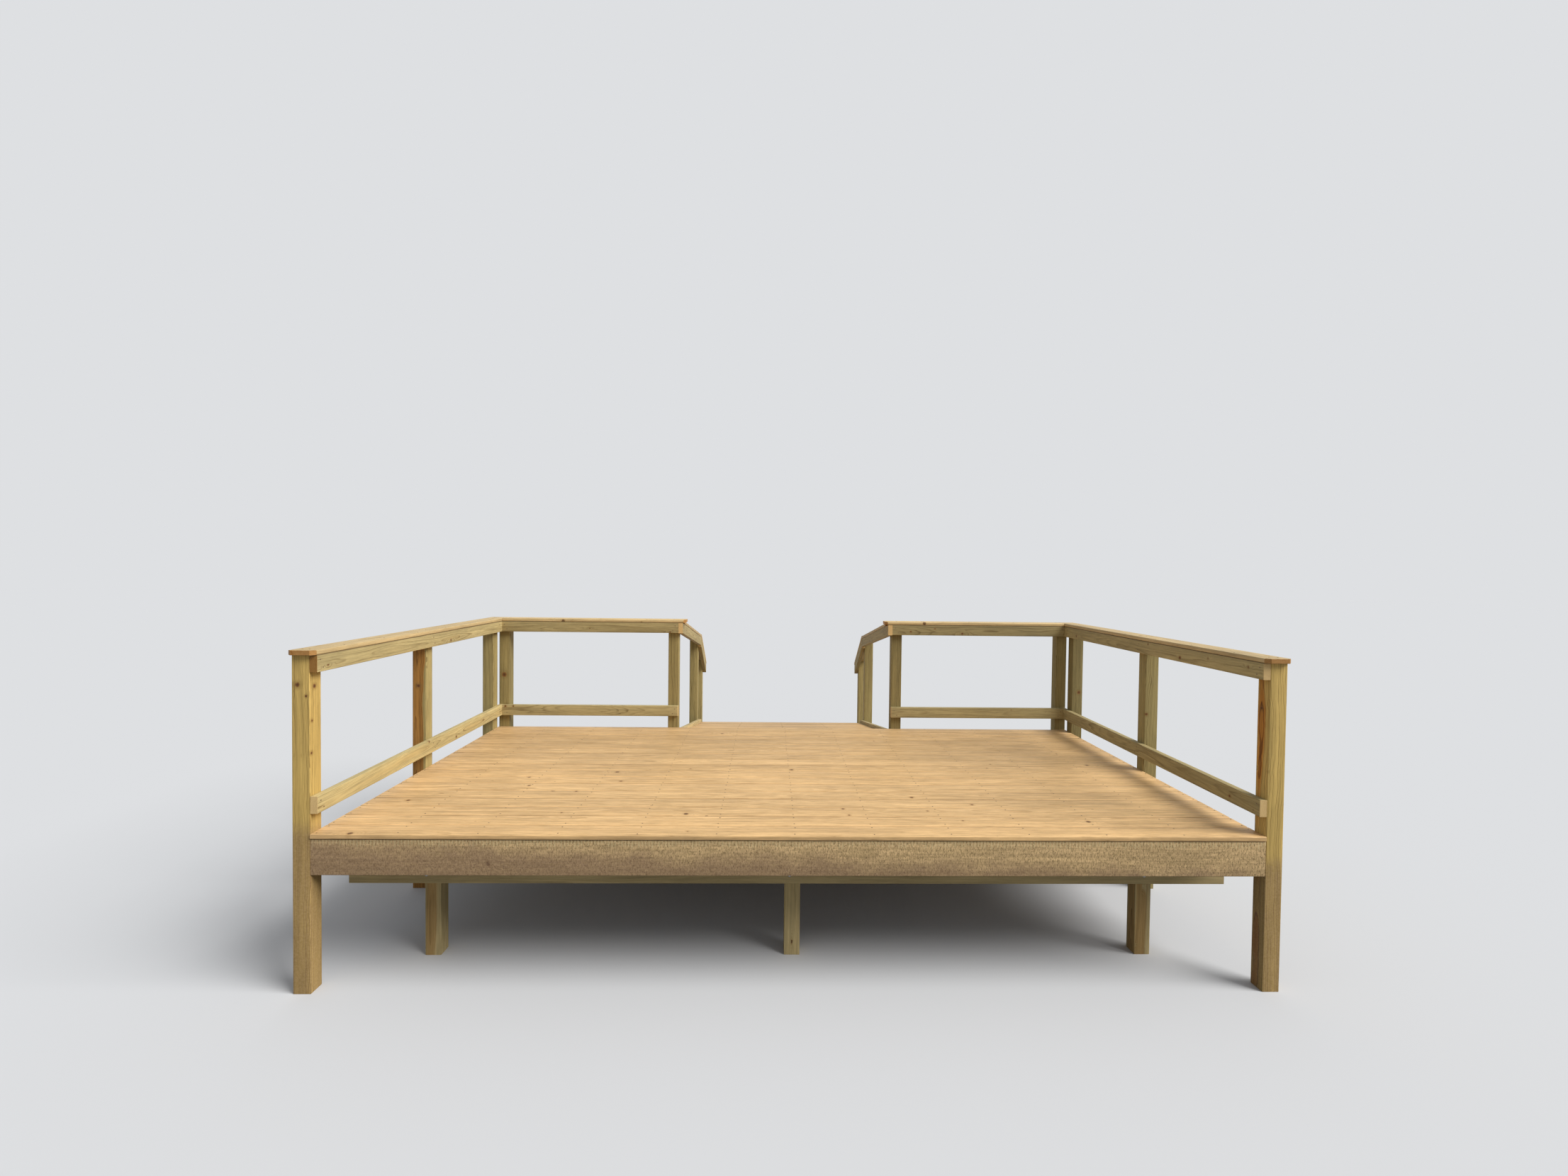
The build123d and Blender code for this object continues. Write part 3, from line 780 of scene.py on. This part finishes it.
# Ramp: pine joists from the back rim down to a header, and twelve boards screwed across them.
# The walkway's side planks stand above the boards as a low curb; they come with the steps.
step_down = 0.0381
board_gap = 0.004
ramp_start_z = deck_top - step_down
ramp_underside_z = ramp_start_z - board_thickness / ramp_cos
header_low, header_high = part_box("ramp_header")
header = plank_on_edge("ramp_header", header_low, header_high, True)
fix_to_deck(header, side_rim_finish, "rim_timber", "ramp_header")
ramp_joist_count = 5
ramp_joist_depth = 0.1397
joists_low, joists_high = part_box("ramp_joists")
ramp_joist_pitch = (joists_high.x - joists_low.x - stock_thickness) / (ramp_joist_count - 1)
ramp_joists = []
for i in range(ramp_joist_count):
    joist_x = joists_low.x + stock_thickness / 2 + i * ramp_joist_pitch
    ramp_joists.append(sloping_bar(
        "ramp_joist", joist_x, stock_thickness, back_y, header_low.y, ramp_underside_z, ramp_slope,
        ramp_joist_depth, eased_edge, (0.06, dice.uniform(-0.04, 0.04))))
fix_to_deck(join_as(ramp_joists, "ramp_joist_planks"), frame_finish, "frame_timber", "ramp_joists")

ramp_boards_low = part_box("ramp_boards")[0]
downhill = Vector((0, ramp_cos, -ramp_cos * ramp_slope))
above_ramp = Vector((0, ramp_cos * ramp_slope, ramp_cos))
ramp_board_count = 12
first_start = Vector((ramp_boards_low.x, back_y, ramp_start_z)) - above_ramp * board_thickness / 2
ramp_starts = []
for i in range(ramp_board_count):
    ramp_starts.append(first_start + downhill * (board_gap + board_width / 2 + i * board_pitch))
lay_boards("ramp_boards", "ramp_board_planks", ramp_starts, across=downhill)

# Steps: pine stringers sawn from wide planks to a saw-tooth line, and two treads of two boards each.
# The outer stringers are joined to the side planks of the ramp, and the treads are screwed down on all three.
curb_height = 0.030
curb_stock_depth = 0.1842
sawn_edge = 0.0012
stringer_low, stringer_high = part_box("middle_stringer")
stair_along = Vector((0, stair_cos, -stair_cos * stair_slope))
stair_across = Vector((-1, 0, 0))
into_stringer = Matrix((stair_along, stair_across, stair_along.cross(stair_across))).to_4x4()
sawn_from = Vector((0, stringer_low.y, stringer_high.z))
pattern = copy_of(frame["nodes"]["middle_stringer"], "sawn_stringer")
pattern.parent = None
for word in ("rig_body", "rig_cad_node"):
    del pattern[word]
take_up(pattern)
bpy.ops.object.mode_set(mode="EDIT")
bpy.ops.mesh.select_all(action="SELECT")
bpy.ops.mesh.remove_doubles(threshold=0.00001)
bpy.ops.mesh.dissolve_limited(angle_limit=math.radians(1))
bpy.ops.mesh.select_all(action="SELECT")
bpy.ops.mesh.bevel(offset=sawn_edge, segments=1, affect="EDGES")
bpy.ops.object.mode_set(mode="OBJECT")
pattern.data.transform(into_stringer @ Matrix.Translation(-sawn_from))


def sawn_stringer(name, middle_x):
    stringer = copy_of(pattern, name)
    return set_in_place(stringer, sawn_from + Vector((middle_x, 0, 0)), stair_along, stair_across,
                        (0.07, dice.uniform(-0.05, 0.05)), bowed=0.0)


fix_to_deck(sawn_stringer("middle_stringer_plank", 0), frame_finish, "frame_timber", "middle_stringer")
for side in ("left", "right"):
    low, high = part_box(f"{side}_stringers")
    middle_x = (low.x + high.x) / 2
    curb = sloping_bar("curb_plank", middle_x, stock_thickness, back_y, header_high.y,
                       ramp_start_z + curb_height / ramp_cos, ramp_slope, curb_stock_depth, eased_edge,
                       (0.07, dice.uniform(-0.05, 0.05)))
    planks = [curb, sawn_stringer("stair_stringer", middle_x)]
    fix_to_deck(join_as(planks, f"{side}_stringer_planks"), side_rim_finish, "rim_timber",
                f"{side}_stringers")
bpy.data.objects.remove(pattern)

treads_low, treads_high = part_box("stair_treads")
rise = 0.1651
tread_run = 0.2667
tread_count = 2
boards_in_tread = 2
tread_starts = []
for i in range(tread_count):
    for j in range(boards_in_tread):
        middle_y = treads_low.y + board_width / 2 + i * tread_run + j * board_pitch
        tread_starts.append((treads_low.x, middle_y, treads_high.z - board_thickness / 2 - i * rise))
lay_boards("stair_treads", "stair_tread_boards", tread_starts)

# Screws: small coated countersunk heads, two through every board into every joist, two at each end of a
# rail and at each post it passes, and a few down through the caps.
screw_radius = 0.0038
screw_height = 0.0005
socket_share = 0.55
socket_depth_share = 0.6
both_sides = (("left", -1), ("right", 1))


def metal_finish(name, colour, metallic, roughness):
    finish, _, shader = new_material(name)
    shader.inputs["Base Color"].default_value = (*colour, 1.0)
    shader.inputs["Metallic"].default_value = metallic
    shader.inputs["Roughness"].default_value = roughness
    return finish


def pick_faces(piece, way=1):
    """Selects the faces that look up, or down where way is -1."""
    mesh = bmesh.from_edit_mesh(piece.data)
    for face in mesh.faces:
        face.select_set(face.normal.z * way > 0.9)
    bmesh.update_edit_mesh(piece.data)


def drive(head, point, outward, sink=0.0, wander=0.0):
    """One head on a face of the timber, turned at random and set off its mark by up to wander."""
    out = Vector(outward).normalized()
    shift = Vector((dice.uniform(-wander, wander), dice.uniform(-wander, wander), 0))
    turn = Matrix.Rotation(dice.uniform(0, math.tau), 4, "Z")
    stand = out.to_track_quat("Z", "Y").to_matrix().to_4x4()
    twin = copy_of(head, "driven_head")
    on_face = Matrix.Translation(Vector(point) - out * sink) @ stand
    twin.data.transform(on_face @ Matrix.Translation(shift) @ turn)
    return twin


def fasten(heads, name, finish):
    piece = join_as(heads, name)
    piece.data.materials.clear()
    piece.data.materials.append(finish)
    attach(piece, "root")


screw_finish = metal_finish("coated_screw", (0.22, 0.15, 0.085), 0.4, 0.5)
bpy.ops.object.select_all(action="DESELECT")
bpy.ops.mesh.primitive_cylinder_add(vertices=10, radius=screw_radius, depth=2 * screw_height)
screw_head = bpy.context.active_object
screw_head.name = "screw_head"
bpy.ops.object.mode_set(mode="EDIT")
bpy.ops.mesh.select_mode(type="FACE")
pick_faces(screw_head, -1)
bpy.ops.mesh.delete(type="FACE")
pick_faces(screw_head)
bpy.ops.mesh.inset(thickness=screw_radius * socket_share, depth=0)
bpy.ops.mesh.extrude_region_move(TRANSFORM_OT_translate={"value": (0, 0, -socket_depth_share * screw_height)})
bpy.ops.object.mode_set(mode="OBJECT")

rim_inset = stock_thickness / 2
screw_from_edge = 0.025
board_screw_lines = (screw_from_edge, board_width - screw_from_edge)
board_wander = 0.004
joist_lines = [boards_low.x + rim_inset, boards_high.x - rim_inset]
for i in range(joist_count):
    joist_lines.append(joist_low.x + rim_inset + i * joist_pitch)
deck_screws = []
for i in range(board_count):
    for line_x in joist_lines:
        for edge in board_screw_lines:
            mark = (line_x, boards_low.y + i * board_pitch + edge, deck_top)
            deck_screws.append(drive(screw_head, mark, (0, 0, 1), wander=board_wander))
fasten(deck_screws, "deck_screws", screw_finish)

walkway_screws = []
for i in range(ramp_board_count):
    for j in range(ramp_joist_count):
        line_x = joists_low.x + rim_inset + j * ramp_joist_pitch
        for edge in board_screw_lines:
            mark = Vector((line_x, back_y, ramp_start_z)) + downhill * (board_gap + edge + i * board_pitch)
            walkway_screws.append(drive(screw_head, mark, above_ramp, wander=board_wander))
stringer_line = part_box("right_stringers")[0].x + rim_inset
for i in range(tread_count):
    for j in range(boards_in_tread):
        for line_x in (stringer_line, 0.0, -stringer_line):
            for edge in board_screw_lines:
                mark_y = treads_low.y + i * tread_run + j * board_pitch + edge
                mark = (line_x, mark_y, treads_high.z - i * rise)
                walkway_screws.append(drive(screw_head, mark, (0, 0, 1), wander=board_wander))
fasten(walkway_screws, "walkway_screws", screw_finish)


def post_box(side_name, place):
    """A post's two corners, and the x and y of its middle."""
    low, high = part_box(f"{side_name}_{place}_post")
    return low, high, (low.x + high.x) / 2, (low.y + high.y) / 2


def inner_face(side, low, high):
    """The x of a piece's face that looks to the middle of the deck."""
    return side * min(abs(low.x), abs(high.x))


rail_screws = []
rail_wander = 0.002
screw_pair = ((-0.018, 0.018), (0.003, -0.022))
handrail_screw_pair = ((0.024, 0.024), (0.062, 0.066))
off_corner = 0.03
for side_name, side in both_sides:
    for level in ("upper", "lower"):
        low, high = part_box(f"{side_name}_{level}_rail")
        for place in ("front", "middle", "rear"):
            middle_y = post_box(side_name, place)[3]
            for off_along, off_up in screw_pair:
                mark = (inner_face(side, low, high), middle_y + off_along, (low.z + high.z) / 2 + off_up)
                rail_screws.append(drive(screw_head, mark, (-side, 0, 0), wander=rail_wander))
        low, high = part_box(f"back_{side_name}_{level}_rail")
        for place, lean, shift in (("corner", 1, off_corner), ("opening", -1, 0.0)):
            middle_x = post_box(side_name, place)[2]
            for off_along, off_up in screw_pair:
                mark = (middle_x - side * lean * (off_along + shift), low.y, (low.z + high.z) / 2 + off_up)
                rail_screws.append(drive(screw_head, mark, (0, -1, 0), wander=rail_wander))
    low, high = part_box(f"{side_name}_handrail")
    for place, slope in (("opening", ramp_slope), ("knee", stair_slope), ("foot", stair_slope)):
        post_low, post_high = post_box(side_name, place)[:2]
        for off_along, off_down in handrail_screw_pair:
            mark_z = post_high.z - off_down - slope * off_along
            mark = (inner_face(side, low, high), post_low.y + off_along, mark_z)
            rail_screws.append(drive(screw_head, mark, (-side, 0, 0), wander=rail_wander))
fasten(rail_screws, "rail_screws", screw_finish)

cap_screws = []
cap_screw_places = []
across_post = (0.025, 0.064)
first_from_front = 0.25
first_from_opening = 0.27
cap_screw_spacing = 0.39
along_side_cap = 6
along_back_cap = 3
opening_low_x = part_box("right_opening_post")[0].x
for side_name, side in both_sides:
    low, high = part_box(f"{side_name}_cap")
    for place in ("front", "middle", "rear"):
        post_low, post_high, _, middle_y = post_box(side_name, place)
        for off_x in across_post:
            cap_screw_places.append((inner_face(side, post_low, post_high) + side * off_x, middle_y, high.z))
    for i in range(along_side_cap):
        mark_y = front_y + first_from_front + i * cap_screw_spacing
        cap_screw_places.append((inner_face(side, low, high) + side * rim_inset, mark_y, high.z))
    low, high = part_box(f"back_{side_name}_cap")
    for place, shift in (("corner", off_corner), ("opening", 0.0)):
        post_low, _, middle_x, _ = post_box(side_name, place)
        for off_y in across_post:
            cap_screw_places.append((middle_x - side * shift, post_low.y + off_y, high.z))
    for i in range(along_back_cap):
        mark_x = side * (opening_low_x + first_from_opening + i * cap_screw_spacing)
        cap_screw_places.append((mark_x, low.y + rim_inset, high.z))
for mark in cap_screw_places:
    cap_screws.append(drive(screw_head, mark, (0, 0, 1), sink=screw_height, wander=0.003))
fasten(cap_screws, "cap_screws", screw_finish)
bpy.data.objects.remove(screw_head)

# Bolts: two galvanised carriage bolts through each post of the deck and its rim, each post of the walkway
# and its side plank, and each front leg and the beam. Their domed heads are outside; a washer and a nut
# show inside the rims and behind the beam.
bolt_radius = 0.0105
bolt_height = 0.005
washer_radius = 0.0165
washer_thickness = 0.0022
nut_height = 0.0095
bolt_from_edge = 0.050
rim_low, rim_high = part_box("front_rim")
bolt_finish = metal_finish("galvanised_bolt", (0.30, 0.31, 0.32), 0.8, 0.55)


def turned(name, sides, radius, height, rounding):
    """A round or six-sided head standing on its base, the top edge rounded off."""
    bpy.ops.object.select_all(action="DESELECT")
    bpy.ops.mesh.primitive_cylinder_add(vertices=sides, radius=radius, depth=height,
                                        location=(0, 0, height / 2))
    head = bpy.context.active_object
    head.name = name
    bpy.ops.object.transform_apply(location=True, rotation=False, scale=False)
    bpy.ops.object.mode_set(mode="EDIT")
    bpy.ops.mesh.select_mode(type="FACE")
    pick_faces(head)
    bpy.ops.mesh.bevel(offset=rounding, segments=3, affect="EDGES")
    bpy.ops.object.mode_set(mode="OBJECT")
    return head


domed_head = turned("domed_head", 16, bolt_radius, bolt_height, rounding=0.0042)
washer = turned("washer", 16, washer_radius, washer_thickness, rounding=0.0004)
nut = turned("nut", 6, bolt_radius, nut_height, rounding=0.001)
bolts = []


def bolt_through(head_at, nut_at, outward):
    """A carriage bolt: its head on the outer face, and a washer and then a nut where it comes out."""
    inward = [-step for step in outward]
    past_washer = [place + washer_thickness * step for place, step in zip(nut_at, inward)]
    bolts.append(drive(domed_head, head_at, outward))
    bolts.append(drive(washer, nut_at, inward))
    bolts.append(drive(nut, past_washer, inward))


for side_name, side in both_sides:
    for bolt_z in (rim_low.z + bolt_from_edge, rim_high.z - bolt_from_edge):
        for place, off_y in (("front", 0.016), ("middle", 0.0), ("rear", -0.016)):
            post_low, post_high, _, middle_y = post_box(side_name, place)
            outer_x = side * max(abs(post_low.x), abs(post_high.x))
            inner_x = inner_face(side, post_low, post_high) - side * stock_thickness
            bolt_y = middle_y + off_y
            bolt_through((outer_x, bolt_y, bolt_z), (inner_x, bolt_y, bolt_z), (side, 0, 0))
        for place, off_x in (("corner", -0.020), ("opening", 0.0)):
            post_low, post_high, middle_x, _ = post_box(side_name, place)
            bolt_x = middle_x + side * off_x
            inner_y = post_low.y - stock_thickness
            bolt_through((bolt_x, post_high.y, bolt_z), (bolt_x, inner_y, bolt_z), (0, 1, 0))
    for place, heights in (("knee", (0.37, 0.45)), ("foot", (0.055, 0.125))):
        post_low, post_high, _, middle_y = post_box(side_name, place)
        outer_x = side * max(abs(post_low.x), abs(post_high.x))
        for bolt_z in heights:
            bolts.append(drive(domed_head, (outer_x, middle_y - 0.012, bolt_z), (side, 0, 0)))
for place in ("left", "middle", "right"):
    leg_low, leg_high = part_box(f"{place}_front_leg")
    for bolt_z, off_x in ((beam_low.z + bolt_from_edge, -0.018), (beam_high.z - bolt_from_edge, 0.018)):
        bolt_x = (leg_low.x + leg_high.x) / 2 + off_x
        bolt_through((bolt_x, beam_low.y, bolt_z), (bolt_x, beam_high.y, bolt_z), (0, -1, 0))
fasten(bolts, "bolts", bolt_finish)
for spare in (domed_head, washer, nut):
    bpy.data.objects.remove(spare)
bpy.ops.object.select_all(action="DESELECT")

# Floor and light: a plain pale floor under a soft, slightly cool sky, the brighter side to the front right.
# Seen directly, the floor is paler than it is for light that bounces from it, and the sky has its tone.
floor_colour = 0.62
floor_bounce = 0.22
sky_colour = (0.41, 0.43, 0.46)
sun_strength = 3.6
towards_light = Vector((0.67, -0.31, 0.67)).normalized()
backdrop = [floor_colour * (share + sun_strength * towards_light.z / math.pi) for share in sky_colour]


def seen_directly(tree):
    """1 for what the camera sees straight, mirrored or through glass, 0 for light that bounces."""
    path = tree.nodes.new("ShaderNodeLightPath")
    seen = reckon(tree, "MAXIMUM", path.outputs["Is Camera Ray"], path.outputs["Is Glossy Ray"])
    return reckon(tree, "MAXIMUM", seen, path.outputs["Is Transmission Ray"])


bpy.ops.mesh.primitive_plane_add(size=120, location=(0, 0, 0))
floor = bpy.context.active_object
floor.name = "floor"
floor_paint, paint_tree, paint_shader = new_material("floor_paint")
floor_tint = stain(paint_tree, seen_directly(paint_tree), (floor_bounce,) * 3, (floor_colour,) * 3)
paint_tree.links.new(floor_tint, paint_shader.inputs["Base Color"])
paint_shader.inputs["Roughness"].default_value = 0.9
paint_shader.inputs["Specular IOR Level"].default_value = 0.0
floor.data.materials.append(floor_paint)
world = bpy.data.worlds.new("soft_sky")
bpy.context.scene.world = world
world.use_nodes = True
sky = world.node_tree
sky_light = sky.nodes["Background"]
sky.links.new(stain(sky, seen_directly(sky), sky_colour, backdrop), sky_light.inputs["Color"])
sky_light.inputs["Strength"].default_value = 1.0
lamp_data = bpy.data.lights.new("soft_sun", "SUN")
lamp_data.energy = sun_strength
lamp_data.angle = math.radians(35)
lamp = bpy.data.objects.new("soft_sun", lamp_data)
bpy.context.scene.collection.objects.link(lamp)
lamp.rotation_euler = towards_light.to_track_quat("Z", "Y").to_euler()
bpy.context.scene.view_settings.view_transform = "Standard"
